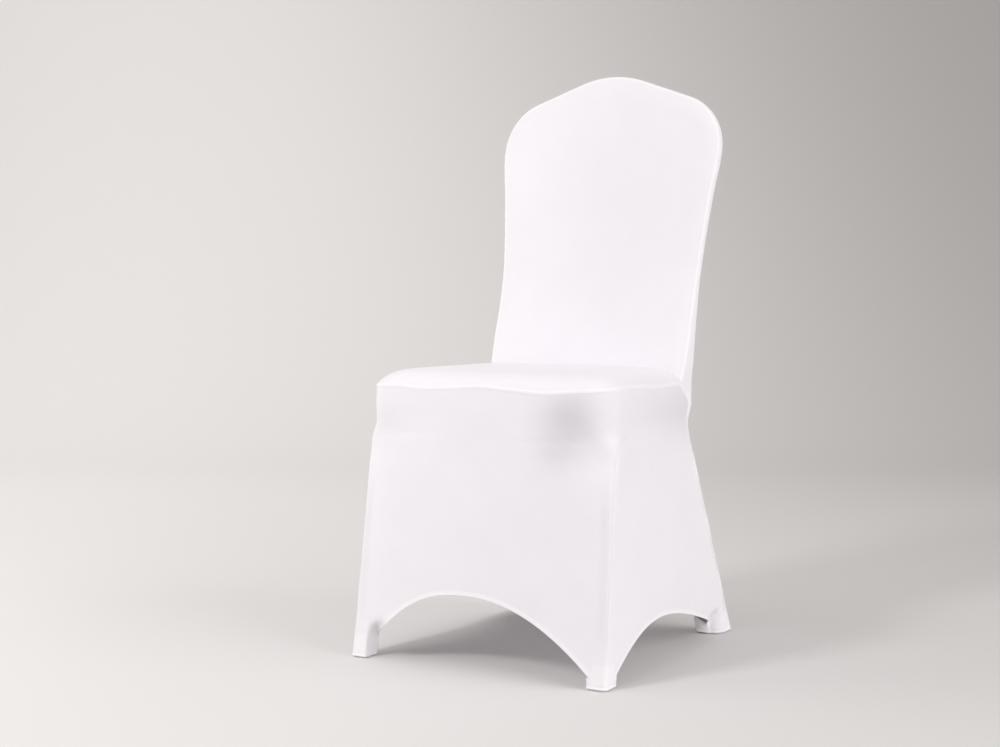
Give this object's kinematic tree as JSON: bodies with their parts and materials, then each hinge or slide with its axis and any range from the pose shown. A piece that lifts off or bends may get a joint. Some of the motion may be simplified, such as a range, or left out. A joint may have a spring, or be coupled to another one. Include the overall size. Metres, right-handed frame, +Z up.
{
  "type": "chair cover",
  "caption": "Fitted stretch cover for a crown-back chair, with a padded seat top, arched hems between the feet and a closed pocket under each foot.",
  "frame": {"origin": "on the floor, under the middle of the cover", "axes": "+Z up, -Y towards the front of the seat, +Y towards the back, +X to the right as seen from in front"},
  "size_m": [0.4532, 0.4904, 0.941],
  "materials": {
    "white_stretch": "white stretch knit, tight and smooth, with a faint sheen",
    "white_doubled": "the same white stretch knit laid double, denser and slightly brighter"
  },
  "bodies": {
    "root": {"inside_back_panel": "white_stretch", "outside_back_panel": "white_stretch", "seat_panel": "white_stretch", "skirt_panel": "white_stretch", "front_left_foot_pocket": "white_doubled", "front_right_foot_pocket": "white_doubled", "rear_left_foot_pocket": "white_doubled", "rear_right_foot_pocket": "white_doubled"}
  },
  "joints": []
}
